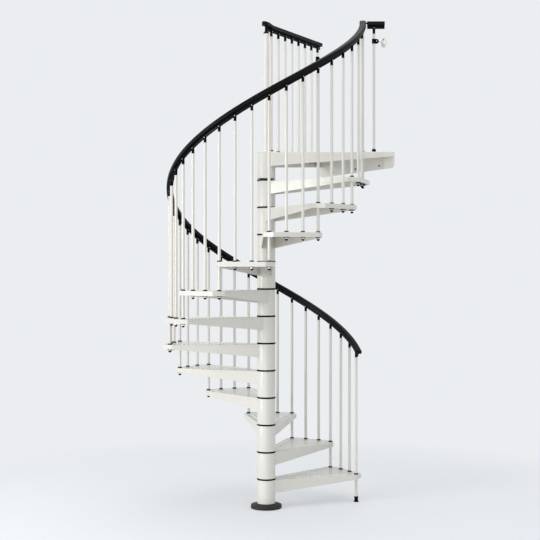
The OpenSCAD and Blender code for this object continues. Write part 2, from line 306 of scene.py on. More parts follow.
def powder_coat(name, tone, scuffs=0.0):
    """White powder coat: a fine orange-peel skin, faint mottling, and scuffs where it is trodden."""
    f = Finish(name)
    mottle = f.noise(scale=3.5, detail=4.0)
    cloud = f.noise(scale=22.0, detail=3.0)
    patches = f.noise(scale=9.0, detail=6.0, stretch=(1.0, 1.0, 0.2))
    worn = f.between(patches, 0.56, 0.74) * scuffs
    coat = f.blend(mottle, colour(tone), colour(tone, 0.955, 0.955, 0.945))
    coat = f.blend(worn, coat, colour(tone, 0.80, 0.79, 0.76))
    peel = f.bump(f.noise(scale=420.0, detail=2.0), distance=0.09, strength=0.45)
    grit = f.noise(scale=1700.0, detail=1.0)
    return f.surface(
        Base_Color=coat, Roughness=0.36 + cloud * 0.10 + worn * 0.2,
        Normal=f.bump(grit, distance=0.02, strength=0.35, under=peel),
        Specular_IOR_Level=0.5, Coat_Weight=0.4, Coat_Roughness=0.12)


def moulded_black(name, tone, roughness, grain, sheen):
    """Black plastic with a spark-eroded grain and a little dust-dulled variation in its sheen."""
    f = Finish(name)
    haze = f.noise(scale=14.0, detail=5.0)
    skin = f.blend(f.between(haze, 0.35, 0.8), colour(tone), colour(tone, 1.7, 1.7, 1.75))
    coarse = f.bump(f.noise(scale=260.0, detail=2.0), distance=0.06, strength=grain * 0.6)
    fine = f.noise(scale=1500.0, detail=3.0)
    return f.surface(
        Base_Color=skin, Roughness=roughness + haze * 0.12,
        Normal=f.bump(fine, distance=0.04, strength=grain, under=coarse),
        Specular_IOR_Level=sheen)


def plated_steel(name, tone, roughness):
    """Zinc-plated steel: slightly mottled, with turned marks too fine to see one by one."""
    f = Finish(name)
    spangle = f.node(
        "ShaderNodeTexVoronoi", {"feature": "F1"}, {"Vector": f.place, "Scale": 380.0})
    tint = f.node("ShaderNodeSeparateColor", sockets={"Color": spangle.other("Color")})
    metal = f.blend(tint, colour(tone), colour(tone, 0.78, 0.79, 0.82))
    marks = f.noise(scale=900.0, detail=4.0, stretch=(1.0, 1.0, 6.0))
    return f.surface(
        Base_Color=metal, Metallic=1.0, Roughness=roughness + marks * 0.14,
        Normal=f.bump(marks, distance=0.03, strength=0.4))


WHITE = (0.78, 0.775, 0.735)
paint = powder_coat("white_powder_coat", WHITE)
tread_paint = powder_coat("white_powder_coat_treads", WHITE, scuffs=0.10)
# The studs' paint is whiter than the treads': a painted highlight that makes them read as lit raised
# bumps.
stud_paint_with_painted_highlight = powder_coat("bright_white_studs", (0.98, 0.98, 0.96))
fittings = moulded_black(
    "moulded_black_fittings", (0.0012, 0.0012, 0.0012), roughness=0.44, grain=0.5, sheen=0.06)
cover_black = moulded_black(
    "moulded_base_cover", (0.010, 0.010, 0.010), roughness=0.50, grain=0.5, sheen=0.40)
rail_black = moulded_black(
    "satin_black_rail", (0.0014, 0.0014, 0.0016), roughness=0.36, grain=0.3, sheen=0.12)
steel = plated_steel("plated_steel_screws", (0.62, 0.62, 0.64), roughness=0.26)
dark_steel = plated_steel("blackened_steel_screws", (0.07, 0.07, 0.072), roughness=0.34)
raw_steel = plated_steel("rolled_steel_plate", (0.42, 0.42, 0.43), roughness=0.38)

# -------------------------------------------------------------------------- mesh-making tools


def loft(bm, rings):
    """Joins closed rings of points with quads, and caps the two end rings."""
    loops = [[bm.verts.new(p) for p in ring] for ring in rings]
    n = len(loops[0])
    for a, b in zip(loops, loops[1:]):
        for j in range(n):
            bm.faces.new((a[j], a[(j + 1) % n], b[(j + 1) % n], b[j]))
    bm.faces.new(list(reversed(loops[0])))
    bm.faces.new(loops[-1])


def lathe(bm, profile, segments, place=None):
    """A turned solid about Z, from points (radius, height) in millimetres. A profile that starts
    off the axis closes on itself as a ring."""
    place = place or Matrix.Identity(4)
    angles = [2 * math.pi * i / segments for i in range(segments)]
    circle = [(math.cos(a), math.sin(a)) for a in angles]
    columns = []
    for r, z in profile:
        spokes = circle if r else [(0, 0)]
        columns.append([bm.verts.new(place @ Vector((r * MM * c, r * MM * s, z * MM)))
                        for c, s in spokes])
    pairs = list(zip(columns, columns[1:]))
    if profile[0][0]:
        pairs.append((columns[-1], columns[0]))
    for low, high in pairs:
        for i in range(segments):
            j = (i + 1) % segments
            if len(low) == 1:
                bm.faces.new((low[0], high[j], high[i]))
            elif len(high) == 1:
                bm.faces.new((low[i], low[j], high[0]))
            else:
                bm.faces.new((low[i], low[j], high[j], high[i]))


def block(bm, low, high, ease, place):
    """A box with eased edges, from its low to its high corner in millimetres."""
    made = bmesh.ops.create_cube(bm, size=1.0)["verts"]
    for v in made:
        v.co = Vector([(low[i] if v.co[i] < 0 else high[i]) * MM for i in range(3)])
    edges = list(dict.fromkeys(e for v in made for e in v.link_edges))
    eased = bmesh.ops.bevel(
        bm, geom=edges, offset=ease * MM, segments=2, profile=0.5, affect="EDGES")["verts"]
    for v in set(eased):
        v.co = place @ v.co


def mesh_of(bm):
    """The bmesh as a plain mesh, with its faces pointing outwards."""
    bmesh.ops.recalc_face_normals(bm, faces=bm.faces)
    mesh = bpy.data.meshes.new("pattern")
    bm.to_mesh(mesh)
    bm.free()
    return mesh


def merged(meshes):
    """All the meshes in one bmesh, which more can be added to."""
    bm = bmesh.new()
    for mesh in meshes:
        bm.from_mesh(mesh)
    return bm


# Edges sharper than this stay crisp (degrees); on the rails, whose groove is shallow, it is less
SMOOTH = 35
RAIL_SMOOTH = 30


def dress(name, mesh, finish, smooth_angle=SMOOTH):
    """A piece at the origin, smooth but for edges sharper than the angle (degrees)."""
    mesh.name = name
    mesh.materials.clear()
    mesh.materials.append(finish)
    mesh.shade_smooth()
    mesh.set_sharp_from_angle(angle=math.radians(smooth_angle))
    piece = bpy.data.objects.new(name, mesh)
    bpy.context.scene.collection.objects.link(piece)
    return piece


def new_piece(name, bm, finish, smooth_angle=SMOOTH):
    return dress(name, mesh_of(bm), finish, smooth_angle)


def finished_mesh(obj):
    """The plain mesh that an object's modifiers make, with the object itself removed."""
    bpy.context.view_layer.update()
    graph = bpy.context.evaluated_depsgraph_get()
    mesh = bpy.data.meshes.new_from_object(obj.evaluated_get(graph), depsgraph=graph)
    bpy.data.objects.remove(obj)
    return mesh


def finish_piece(piece, slot, *nodes):
    """The piece rides on the stair and stands for CAD nodes; its slot is not used."""
    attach(piece, BODY)
    if nodes:
        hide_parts(*nodes)


def turned_piece(name, profile, segments, finish, slot, *nodes, place=None):
    """A piece that is one turned solid."""
    bm = bmesh.new()
    lathe(bm, profile, segments, place)
    finish_piece(new_piece(name, bm, finish), slot, *nodes)


DRILL_REACH = 8


def drilled(mesh, holes):
    """The mesh with round holes: each is (centre, direction, radius), in millimetres."""
    cutters = bmesh.new()
    for centre, direction, radius in holes:
        place = Matrix.Translation(Vector(centre) * MM) @ pointing(direction)
        bit = [(0, -DRILL_REACH), (radius, -DRILL_REACH), (radius, DRILL_REACH), (0, DRILL_REACH)]
        lathe(cutters, bit, 20, place)
    cutter = bpy.data.objects.new("drill", mesh_of(cutters))
    blank = bpy.data.objects.new("blank", mesh)
    for o in (cutter, blank):
        bpy.context.scene.collection.objects.link(o)
    cut = blank.modifiers.new("drill", "BOOLEAN")
    cut.operation = "DIFFERENCE"
    cut.solver = "EXACT"
    cut.object = cutter
    made = finished_mesh(blank)
    bpy.data.objects.remove(cutter)
    return made


# ---------------------------------------------------------------------- geometry node tools


class Growth(Tree):
    """A geometry tree with named inputs, run once on an object and then baked to its mesh."""

    def __init__(self, name, inputs):
        self.group = bpy.data.node_groups.new(name, "GeometryNodeTree")
        super().__init__(self.group)
        face = self.group.interface
        face.new_socket("Geometry", in_out="INPUT", socket_type="NodeSocketGeometry")
        for label, kind in inputs.items():
            face.new_socket(label, in_out="INPUT", socket_type="NodeSocket" + kind)
        face.new_socket("Geometry", in_out="OUTPUT", socket_type="NodeSocketGeometry")
        self.inputs = self.nodes.new("NodeGroupInput")

    def given(self, label):
        return Wire(self, self.inputs.outputs[label])

    def end(self, geometry):
        """Every tree ends in Realize Instances and Set Material."""
        real = self.node("GeometryNodeRealizeInstances", sockets={"Geometry": geometry})
        dressed = self.node(
            "GeometryNodeSetMaterial", sockets={"Geometry": real, "Material": self.given("Finish")})
        self.node("NodeGroupOutput", sockets={0: dressed})

    def run(self, base_mesh, **values):
        """The mesh that the tree grows from base_mesh with these inputs."""
        obj = bpy.data.objects.new(self.group.name, base_mesh)
        bpy.context.scene.collection.objects.link(obj)
        modifier = obj.modifiers.new("growth", "NODES")
        modifier.node_group = self.group
        for item in self.group.interface.items_tree:
            if item.in_out == "INPUT" and item.name.replace(" ", "_") in values:
                modifier[item.identifier] = values[item.name.replace(" ", "_")]
        return finished_mesh(obj)


def vector(tree, x=0.0, y=0.0, z=0.0):
    return tree.node("ShaderNodeCombineXYZ", sockets={0: x, 1: y, 2: z})


def climbing_tree():
    """Repeats a pattern up the stair: each copy is turned and raised by the same step."""
    tree = Growth("climb", {"Count": "Int", "Turn": "Float", "Rise": "Float", "Finish": "Material"})
    steps = tree.node("GeometryNodePoints", sockets={"Count": tree.given("Count")})
    step = tree.node("GeometryNodeInputIndex")
    placed = tree.node(
        "GeometryNodeSetPosition",
        sockets={"Geometry": steps, "Position": vector(tree, z=step * tree.given("Rise"))})
    turn = vector(tree, z=step * tree.given("Turn"))
    copies = tree.node(
        "GeometryNodeInstanceOnPoints",
        sockets={"Points": placed, "Instance": tree.given("Geometry"), "Rotation": turn})
    tree.end(copies)
    return tree


def row_tree():
    """Repeats a pattern along a straight line at an even pitch."""
    tree = Growth("row", {"Count": "Int", "Pitch": "Vector", "Finish": "Material"})
    steps = tree.node(
        "GeometryNodeMeshLine", {"mode": "OFFSET"},
        {"Count": tree.given("Count"), "Offset": tree.given("Pitch")})
    copies = tree.node(
        "GeometryNodeInstanceOnPoints",
        sockets={"Points": steps, "Instance": tree.given("Geometry")})
    tree.end(copies)
    return tree


def helix_rail_tree():
    """Sweeps a section along a helix, held upright across the slope."""
    tree = Growth("helix_rail", {
        "Points": "Int", "Radius": "Float", "Start Turn": "Float", "Start Height": "Float",
        "Turn": "Float", "Rise": "Float", "Finish": "Material"})
    points = tree.given("Points")
    line = tree.node("GeometryNodeMeshLine", sockets={"Count": points})
    along = tree.node("GeometryNodeInputIndex") / (points - 1.0)
    angle = tree.given("Start Turn") + along * tree.given("Turn")
    radius = tree.given("Radius")
    cos = tree.node("ShaderNodeMath", {"operation": "COSINE"}, {0: angle})
    sin = tree.node("ShaderNodeMath", {"operation": "SINE"}, {0: angle})
    height = tree.given("Start Height") + along * tree.given("Rise")
    wound = tree.node(
        "GeometryNodeSetPosition",
        sockets={"Geometry": line, "Position": vector(tree, radius * cos, radius * sin, height)})
    path = tree.node("GeometryNodeMeshToCurve", sockets={"Mesh": wound})
    upright = tree.node("GeometryNodeSetCurveNormal", {"mode": "Z_UP"}, {"Curve": path})
    section = tree.node("GeometryNodeMeshToCurve", sockets={"Mesh": tree.given("Geometry")})
    swept = tree.node(
        "GeometryNodeCurveToMesh",
        sockets={"Curve": upright, "Profile Curve": section, "Fill Caps": True})
    tree.end(swept)
    return tree


CLIMB = climbing_tree()
ROW = row_tree()
HELIX_RAIL = helix_rail_tree()


def up_the_stair(bm, finish):
    """The pattern made for the first tread, repeated for all of them."""
    return CLIMB.run(mesh_of(bm), Count=TREADS, Turn=TURN, Rise=RISER, Finish=finish)


def along_landing(bm, finish):
    """The pattern made for the first landing post, repeated for all of them."""
    return ROW.run(mesh_of(bm), Count=LANDING_POSTS, Pitch=LINE_STEP, Finish=finish)


# ----------------------------------------------------------------------- treads and landing

# Plan of a tread in millimetres, with X along its middle line: narrow at the column, widest at
# its shoulder, with its corners cut back to the nose
ROOT_HALF = 41
SHOULDER_X, SHOULDER_HALF = 701, 221
NOSE_X, NOSE_HALF = 780, 170
TREAD_PLAN = [(0, -ROOT_HALF), (SHOULDER_X, -SHOULDER_HALF), (NOSE_X, -NOSE_HALF),
              (NOSE_X, NOSE_HALF), (SHOULDER_X, SHOULDER_HALF), (0, ROOT_HALF)]

# Ends of the landing along the wall, and where its folded shell stops inside the wall flange
LANDING_NEAR, LANDING_FAR = -579, 472
SHELL_X = 799.6


def tangent_root(y):
    """Where the landing's straight side crosses the Y axis, on its way past the column."""
    wall = WALL_X / MM
    column = COLUMN_R / MM
    lean = math.asin(column / math.hypot(wall, y))
    return math.copysign(column / math.cos(math.atan2(abs(y), wall) - lean), y)


LANDING_PLAN = [(0, tangent_root(LANDING_NEAR)), (SHELL_X, LANDING_NEAR),
                (SHELL_X, LANDING_FAR), (0, tangent_root(LANDING_FAR))]

# Folded edge: its depth at the column and outwards, where the even band starts, and its corners
ROOT_DEPTH = 106
BAND = 35
LANDING_BAND_FROM = 800
CORNER_R = 6
CORNER_STEPS = 5
FOLD_R = 4
FOLD_STEPS = 5
LIP = 0.8
# Line pressed round the field: its distance from the edge, width, depth and corners
BORDER = 28
LINE_W = 3.4
PRESS = 1.8
LINE_CORNER_R = 10
HUB_WALL = 4


def left_of(a, b):
    run = (b - a).normalized()
    return Vector((-run.y, run.x))


def eased_ring(plan, inset, radius, height):
    """The convex plan moved inwards with round corners, at a height that may vary with x."""
    corners = [Vector((x * MM, y * MM)) for x, y in plan]
    ring = []
    for i, corner in enumerate(corners):
        n1 = left_of(corners[i - 1], corner)
        n2 = left_of(corner, corners[(i + 1) % len(corners)])
        centre = corner + (n1 + n2) * ((inset + radius) * MM / (1 + n1.dot(n2)))
        start = math.atan2(-n1.y, -n1.x)
        sweep = (math.atan2(-n2.y, -n2.x) - start) % (2 * math.pi)
        for s in range(CORNER_STEPS + 1):
            a = start + sweep * s / CORNER_STEPS
            p = centre + Vector((math.cos(a), math.sin(a))) * radius * MM
            ring.append(Vector((p.x, p.y, height(p.x) if callable(height) else height * MM)))
    return ring


def fold_depth(band_from):
    """Depth of the folded edge at x: deep at the column, an even band from band_from outwards."""
    def depth(x):
        share = min(1.0, max(0.0, x / (band_from * MM)))
        return (ROOT_DEPTH + (BAND - ROOT_DEPTH) * share) * MM
    return depth


def folded_shell(bm, plan, band_from):
    """A plate with rounded folded edges, a fine line pressed in round its field, and a hollow
    underside. Its top is at z = 0."""
    depth = fold_depth(band_from)
    rings = [
        eased_ring(plan, BORDER + LINE_W + 1.0, LINE_CORNER_R, 0),
        eased_ring(plan, BORDER + LINE_W + 0.4, LINE_CORNER_R, -PRESS),
        eased_ring(plan, BORDER + 0.6, LINE_CORNER_R, -PRESS),
        eased_ring(plan, BORDER, LINE_CORNER_R, 0),
    ]
    for step in range(FOLD_STEPS + 1):
        a = math.radians(90 * step / FOLD_STEPS)
        inset = FOLD_R * (1 - math.sin(a))
        rings.append(eased_ring(plan, inset, CORNER_R - inset, -FOLD_R * (1 - math.cos(a))))
    wall = SHEET / MM
    rings += [
        eased_ring(plan, 0, CORNER_R, lambda x: LIP * MM - depth(x)),
        eased_ring(plan, LIP, CORNER_R - LIP, lambda x: -depth(x)),
        eased_ring(plan, wall - LIP, CORNER_R - wall + LIP, lambda x: -depth(x)),
        eased_ring(plan, wall, CORNER_R - wall, lambda x: LIP * MM - depth(x)),
        eased_ring(plan, wall, CORNER_R - wall, -wall - 1.2),
        eased_ring(plan, wall + 1.2, CORNER_R - wall, -wall),
    ]
    loft(bm, rings)


def column_length(bm, height):
    """The length of column that carries a step, with its edges eased."""
    r = COLUMN_R / MM
    h = height / MM
    profile = [(r - HUB_WALL, -h), (r - 0.8, -h), (r, -h + 0.8), (r, -1), (r - 0.3, -0.3),
               (r - 1, 0), (r - HUB_WALL, 0)]
    lathe(bm, profile, 96)


# Small round holes in both folded sides of a tread: along it, below its top, and their radius
SIDE_HOLES_X = (146, 655)
SIDE_HOLE_DOWN = 14
SIDE_HOLE_R = 3.4


def side_hole(corner, x):
    """A hole through the side of a tread that starts at a corner of its plan, at x along it."""
    a, b = Vector(TREAD_PLAN[corner]), Vector(TREAD_PLAN[corner + 1])
    p = a + (b - a) * ((x - a.x) / (b.x - a.x))
    normal = left_of(a, b)
    return ((p.x, p.y, -SIDE_HOLE_DOWN), (normal.x, normal.y, 0), SIDE_HOLE_R)


# The corners of a plan at which its two long sides start
TREAD_SIDES = (0, 4)
LANDING_SIDES = (0, 2)


def tread_plate():
    bm = bmesh.new()
    folded_shell(bm, TREAD_PLAN, SHOULDER_X)
    return drilled(mesh_of(bm), [side_hole(side, x) for x in SIDE_HOLES_X for side in TREAD_SIDES])


def treads():
    """Every tread with its length of column. Only the first has no spacer ring under it."""
    plate = tread_plate()
    for t in range(1, TREADS + 1):
        bm = merged([plate])
        column_length(bm, RISER if t == 1 else RISER - RING_H)
        bm.transform(turned(FIRST_DIR + TURN * (t - 1), 0, 0, tread_top(t)))
        piece = new_piece(f"folded_tread_{t:02d}", bm, tread_paint)
        finish_piece(piece, "white_paint", tread_name(t))


# Wall flange: its depth, corners cut off below, top edge and thickness, and its bolt holes
FLANGE_DEPTH = 123
FLANGE_CUT_W, FLANGE_CUT_H = 24, 21
FLANGE_TOP = -5
FLANGE_T = 4.8
WALL_BOLT_Y = [-60 + 326 * i for i in (-1, 0, 1)]
WALL_BOLT_Z = -93
WALL_BOLT_R = 4.5
# Head of an M8 button screw on its washer, with a socket in its crown
BUTTON_HEAD = [(0, 0), (8, 0), (8, 1.4), (7, 1.6), (6.9, 2.6), (5.8, 4.4), (3.6, 5.4), (2.5, 5.5),
               (2.4, 2.8), (0, 2.6)]


def wall_flange():
    """The deep plate that closes the landing on the wall, with its row of bolt holes."""
    low, cut = -FLANGE_DEPTH, FLANGE_CUT_H - FLANGE_DEPTH
    outline = [(LANDING_NEAR, FLANGE_TOP), (LANDING_NEAR, cut), (LANDING_NEAR + FLANGE_CUT_W, low),
               (LANDING_FAR - FLANGE_CUT_W, low), (LANDING_FAR, cut), (LANDING_FAR, FLANGE_TOP)]
    wall = WALL_X / MM
    flange = bmesh.new()
    loft(flange, [[Vector((x, y, z)) * MM for y, z in outline] for x in (wall - FLANGE_T, wall)])
    bmesh.ops.bevel(flange, geom=list(flange.edges), offset=0.7 * MM, segments=2, affect="EDGES")
    middle = wall - FLANGE_T / 2
    holes = [((middle, y, WALL_BOLT_Z), (1, 0, 0), WALL_BOLT_R) for y in WALL_BOLT_Y]
    return drilled(mesh_of(flange), holes)


def landing():
    """The landing: folded shell, the column's head and the deep flange on the wall."""
    shell = bmesh.new()
    folded_shell(shell, LANDING_PLAN, LANDING_BAND_FROM)
    bm = merged([mesh_of(shell), wall_flange()])
    column_length(bm, RISER - RING_H)
    head = [(0, -3), (69, -3), (70, -2), (70, 4.5), (69.2, 6.6), (67.4, 8.2), (65, 9), (0, 9)]
    lathe(bm, head, 96)
    bm.transform(raised(LANDING_TOP))
    finish_piece(new_piece("folded_landing", bm, tread_paint), "white_paint", "landing")


# Black button heads in the flange's bolt holes: real bolts, whose black also serves as painted shade
# for the dark holes against the wall.
def wall_bolts():
    bm = bmesh.new()
    for y in WALL_BOLT_Y:
        face = (WALL_X - FLANGE_T * MM, y * MM, LANDING_TOP + WALL_BOLT_Z * MM)
        lathe(bm, BUTTON_HEAD, 28, Matrix.Translation(face) @ FACING_ROOM)
    finish_piece(new_piece("wall_bolts", bm, fittings), "black_fittings")


# A stud is a steep button with a softly rounded top
STUD = [(0, -0.5), (9.6, -0.5), (9.6, 0.4), (9.2, 2.8), (8.0, 4.5), (5.4, 5.3), (0, 5.6)]
STUD_PITCH = 30
STUD_INSET = 44
FIRST_STUD = 243
TREAD_STUDS = (14, 14)
LANDING_STUDS = (22, 19)


def stud_row(plan, corner, count):
    """A row of anti-slip studs beside the long side of a plan that starts at a corner."""
    a, b = Vector(plan[corner]), Vector(plan[(corner + 1) % len(plan)])
    near, far = (a, b) if a.x < b.x else (b, a)
    along = (far - near).normalized()
    start = (near + along * FIRST_STUD + left_of(a, b) * STUD_INSET) * MM
    stud = bmesh.new()
    lathe(stud, STUD, 16, Matrix.Translation((start.x, start.y, 0)))
    return ROW.run(mesh_of(stud), Count=count, Pitch=(*(along * STUD_PITCH * MM), 0.0),
                   Finish=stud_paint_with_painted_highlight)


def stud_rows(plan, sides, counts):
    return merged([stud_row(plan, side, count) for side, count in zip(sides, counts)])


def studs():
    """Two rows of studs on each tread and on the landing."""
    on_tread = stud_rows(TREAD_PLAN, TREAD_SIDES, TREAD_STUDS)
    on_tread.transform(turned(FIRST_DIR, 0, 0, FIRST_TREAD_TOP))
    on_landing = stud_rows(LANDING_PLAN, LANDING_SIDES, LANDING_STUDS)
    on_landing.transform(raised(LANDING_TOP))
    bm = merged([up_the_stair(on_tread, stud_paint_with_painted_highlight), mesh_of(on_landing)])
    finish_piece(new_piece("anti_slip_studs", bm, stud_paint_with_painted_highlight), "white_paint")


# ------------------------------------------------------------------------- column and base


def base_plate():
    """The CAD plate under the cover, in raw steel."""
    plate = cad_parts["base_plate"]
    plate.data.materials.clear()
    plate.data.materials.append(raw_steel)


def spacer_rings():
    r = RING_R / MM
    h = RING_H / MM
    profile = [(66, 0), (r - 1, 0), (r, 0.8), (r, h - 0.8), (r - 1, h), (66, h)]
    bm = bmesh.new()
    lathe(bm, profile, 96, raised(FIRST_TREAD_TOP))
    rings = dress("column_spacer_rings", up_the_stair(bm, fittings), fittings)
    finish_piece(rings, "black_fittings", "spacer_rings")


def base_cover():
    """Moulded cover: an upright rim with a soft shoulder, a shallow slope and a raised collar."""
    outer = radius_of("base_cover") / MM
    top = top_of("base_cover") / MM
    r = COLUMN_R / MM
    profile = [
        (outer - 3, 0.2), (outer - 0.6, 0.2), (outer, 0.8), (outer, 21), (outer - 0.6, 23.6),
        (outer - 2.2, 25.8), (outer - 5, 27), (r + 22, 32.5), (r + 13, 34.2), (r + 10, 35.2),
        (r + 8.4, 37.4), (r + 7, top), (r + 3, top), (r + 1.6, top - 1.2), (r + 1.6, 29),
        (r + 7, 29), (r + 12, 30.5), (outer - 7, 23.5), (outer - 3, 20)]
    turned_piece(
        "moulded_base_cover", profile, 128, cover_black, "black_fittings", "base_cover")


def newel():
    """The centre pole. It shows above the landing, where a fine line rings it below its cap."""
    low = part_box("centre_pole")[0].z / MM
    top = top_of("centre_pole") / MM
    r = radius_of("centre_pole") / MM
    profile = [
        (0, low), (r, low), (r, top - 10), (r - 0.5, top - 9.6), (r - 0.5, top - 8.8),
        (r, top - 8.4), (r, top - 0.8), (r - 0.8, top), (0, top)]
    turned_piece("newel_pole", profile, 64, paint, "white_paint", "centre_pole")


# Newel cap: thickness of its foot, radii where the lower flare starts inside the foot and at the
# neck, heights of both flares, and how far the upper one spreads
CAP_FOOT_T = 6
CAP_SHOULDER = 1.5
NECK_R = 11
LOWER_FLARE_H = 26
UPPER_FLARE_H = 22
UPPER_SPREAD = 5
FLARE_STEPS = 8


def newel_cap():
    """Flared at its foot on the newel, slim at its neck, and flared again under the rail's nose."""
    low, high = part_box("newel_cap")
    h = (high.z - low.z) / MM
    r = radius_of("newel_cap") / MM
    t = CAP_FOOT_T
    spread = r - CAP_SHOULDER - NECK_R
    steps = [i / FLARE_STEPS for i in range(FLARE_STEPS + 1)]
    foot = [(0, 0), (r - 0.6, 0), (r, 0.6), (r, t - 0.6), (r - 0.7, t)]
    lower = [(NECK_R + spread * (1 - s) ** 2.4, t + 0.5 + LOWER_FLARE_H * s) for s in steps]
    upper = [(NECK_R + UPPER_SPREAD * s ** 3, h + UPPER_FLARE_H * (s - 1)) for s in steps]
    turned_piece("flared_newel_cap", foot + lower + upper + [(0, h)], 48, fittings,
                 "black_fittings", "newel_cap", place=raised(low.z))


# ------------------------------------------------------------------------------------ posts

# How far the foot of a post reaches below the top of its tread or of the landing (mm)
POST_DROP = 31
LANDING_DROP = 9
TREAD_POST_FOOT = FIRST_TREAD_TOP - POST_DROP * MM
LANDING_POST_FOOT = LANDING_TOP - LANDING_DROP * MM


def post(bm, place, length):
    """A round post with a fine ring turned in below its top; its foot is at the place's origin."""
    r = POST_R / MM
    top = length / MM
    profile = [
        (0, 0), (r - 0.6, 0), (r, 0.6), (r, top - 9.6), (r - 0.55, top - 9.2), (r - 0.55, top - 8.4),
        (r, top - 8.0), (r, top - 1.0), (r - 0.9, top), (0, top)]
    lathe(bm, profile, 32, place)


def helix_posts():
    bm = bmesh.new()
    for k in first_set():
        post(bm, at_helix(k, TREAD_POST_FOOT), post_top(k) - TREAD_POST_FOOT)
    names = [f"posts_{t:02d}" for t in range(1, TREADS + 1)]
    finish_piece(dress("helix_posts", up_the_stair(bm, paint), paint), "white_paint", *names)


def other_posts():
    """The post that runs to the floor, the row on the landing and the arrival post."""
    bm = bmesh.new()
    post(bm, at_helix(0, 0), FIRST_POST_TOP)
    finish_piece(new_piece("floor_post", bm, paint), "white_paint", "first_post")
    bm = bmesh.new()
    post(bm, at_line_start(LANDING_POST_FOOT), LANDING_POST_TOP - LANDING_POST_FOOT)
    row = dress("landing_post_row", along_landing(bm, paint), paint)
    finish_piece(row, "white_paint", "landing_posts")
    bm = bmesh.new()
    post(bm, at_near_post(LANDING_POST_FOOT), NEAR_POST_TOP - LANDING_POST_FOOT)
    finish_piece(new_piece("arrival_post", bm, paint), "white_paint", "near_post")


def floor_post_foot():
    """A moulded foot: broad at the floor, waisted, and a collar at its top."""
    h = top_of("first_post_foot") / MM
    profile = [
        (11, 0.2), (19.3, 0.2), (20, 1.0), (20, 4.4), (18.4, 7.0), (16.0, 10.4), (14.7, 14),
        (14.5, 20), (14.6, 26), (15.2, 29.4), (16, 31), (16, h - 1.8), (15.4, h - 0.5),
        (14.4, h), (11, h)]
    turned_piece("floor_post_foot", profile, 48, fittings, "black_fittings", "first_post_foot",
                 place=at_helix(0, 0))


def sockets():
    """The tall moulded sockets of the straight balustrade and of the arrival post."""
    low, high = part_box("landing_sockets")
    h = (high.z - low.z) / MM
    r = 15.5
    profile = [
        (11, 0), (r, 0), (r, 1.4), (r - 0.7, 2.0), (r - 0.7, 3.0), (r, 3.6), (r, h - 8),
        (r - 0.7, h - 7.4), (r - 0.7, h - 6.4), (r, h - 5.8), (r, h - 1.5), (r - 1.5, h), (11, h)]
    bm = bmesh.new()
    lathe(bm, profile, 40, at_line_start(low.z))
    bm = merged([along_landing(bm, fittings)])
    lathe(bm, profile, 40, at_near_post(low.z))
    finish_piece(new_piece("landing_sockets", bm, fittings), "black_fittings", "landing_sockets")


def collar(bm, place):
    """The moulded collar that closes the hole round a post."""
    profile = [(11, 0), (15.9, 0), (16.5, 0.7), (16.5, 4.6), (16.0, 6.4), (14.6, 8.2), (13.0, 9.0),
               (11, 9.0)]
    lathe(bm, profile, 36, place)


def collars():
    """Four collars on each tread, the first round a post from below, and one on the landing."""
    bm = bmesh.new()
    for k in range(POSTS_PER_TREAD + 1):
        collar(bm, at_helix(k, FIRST_TREAD_TOP))
    bm = merged([up_the_stair(bm, fittings)])
    collar(bm, at_helix(LAST_POST, LANDING_TOP))
    finish_piece(new_piece("post_collars", bm, fittings), "black_fittings", "post_collars")


WASHER_T = 8
NUT_T = 9
NUT_LOW = -WASHER_T - NUT_T
CAP_R = 11.5
CAP_T = 13


def nut_washer(bm, place):
    """A moulded washer that hangs below the place's origin."""
    t = WASHER_T
    lathe(bm, [(0, 0), (18.2, 0), (19, -0.8), (19, 1 - t), (18, -t), (0, -t)], 36, place)


def post_nut(bm, place):
    """A plated hexagon nut below the washer."""
    corners = [math.radians(60 * i) for i in range(6)]
    levels = ((9.3, NUT_LOW), (10, NUT_LOW + 0.7), (10, -WASHER_T - 0.7), (9.3, -WASHER_T))
    loft(bm, [[place @ (Vector((r * math.cos(a), r * math.sin(a), z)) * MM) for a in corners]
              for r, z in levels])


def nut_cap(bm, place):
    """The moulded dome over the end of the thread."""
    middle = NUT_LOW - CAP_T + CAP_R
    dome = [(CAP_R * math.cos(a), middle - CAP_R * math.sin(a))
            for a in [math.radians(d) for d in range(0, 90, 10)]]
    rim = [(0, NUT_LOW), (CAP_R - 0.7, NUT_LOW), (CAP_R, NUT_LOW - 0.6)]
    lathe(bm, rim + dome + [(0, NUT_LOW - CAP_T)], 32, place)


def under_treads(shape, finish):
    """A shape on the foot of every post of the helix."""
    bm = bmesh.new()
    for k in first_set():
        shape(bm, at_helix(k, TREAD_POST_FOOT))
    return up_the_stair(bm, finish)


def nuts():
    """Washers and nuts on the ends of the posts, and domes on those under the treads."""
    for shape, finish, slot, name in (
            (nut_washer, fittings, "black_fittings", "nut_washers"),
            (post_nut, steel, "bare_steel", "post_nuts")):
        bm = bmesh.new()
        shape(bm, at_line_start(LANDING_POST_FOOT))
        bm = merged([along_landing(bm, finish), under_treads(shape, finish)])
        shape(bm, at_near_post(LANDING_POST_FOOT))
        finish_piece(new_piece(name, bm, finish), slot, name)
    caps = merged([under_treads(nut_cap, fittings)])
    finish_piece(new_piece("nut_caps", caps, fittings), "black_fittings", "nut_caps")


# ------------------------------------------------------------------------------------ rails

# Half of the rail's section, as (distance from the middle, height above the underside): the
# thin strip, and the broad head with a ridge along its side and a groove below its crown
STRIP_HALF = [(2.0, 0), (2.5, 0.5), (2.5, 24.6)]
HEAD_HALF = [
    (3.2, 25), (20.6, 25), (22.6, 25.6), (23.8, 26.8), (24.3, 28.6), (25, 29.8), (25, 33.0),
    (24.4, 34.2), (24.4, 44.0), (24.3, 46.2), (23.3, 46.9), (23.1, 47.8), (23.8, 48.6),
    (23.2, 50.6), (21.7, 52.9), (19.4, 54.8), (16.2, 56.1), (11, 56.8), (5, 57)]
RAIL_HALF = STRIP_HALF + HEAD_HALF
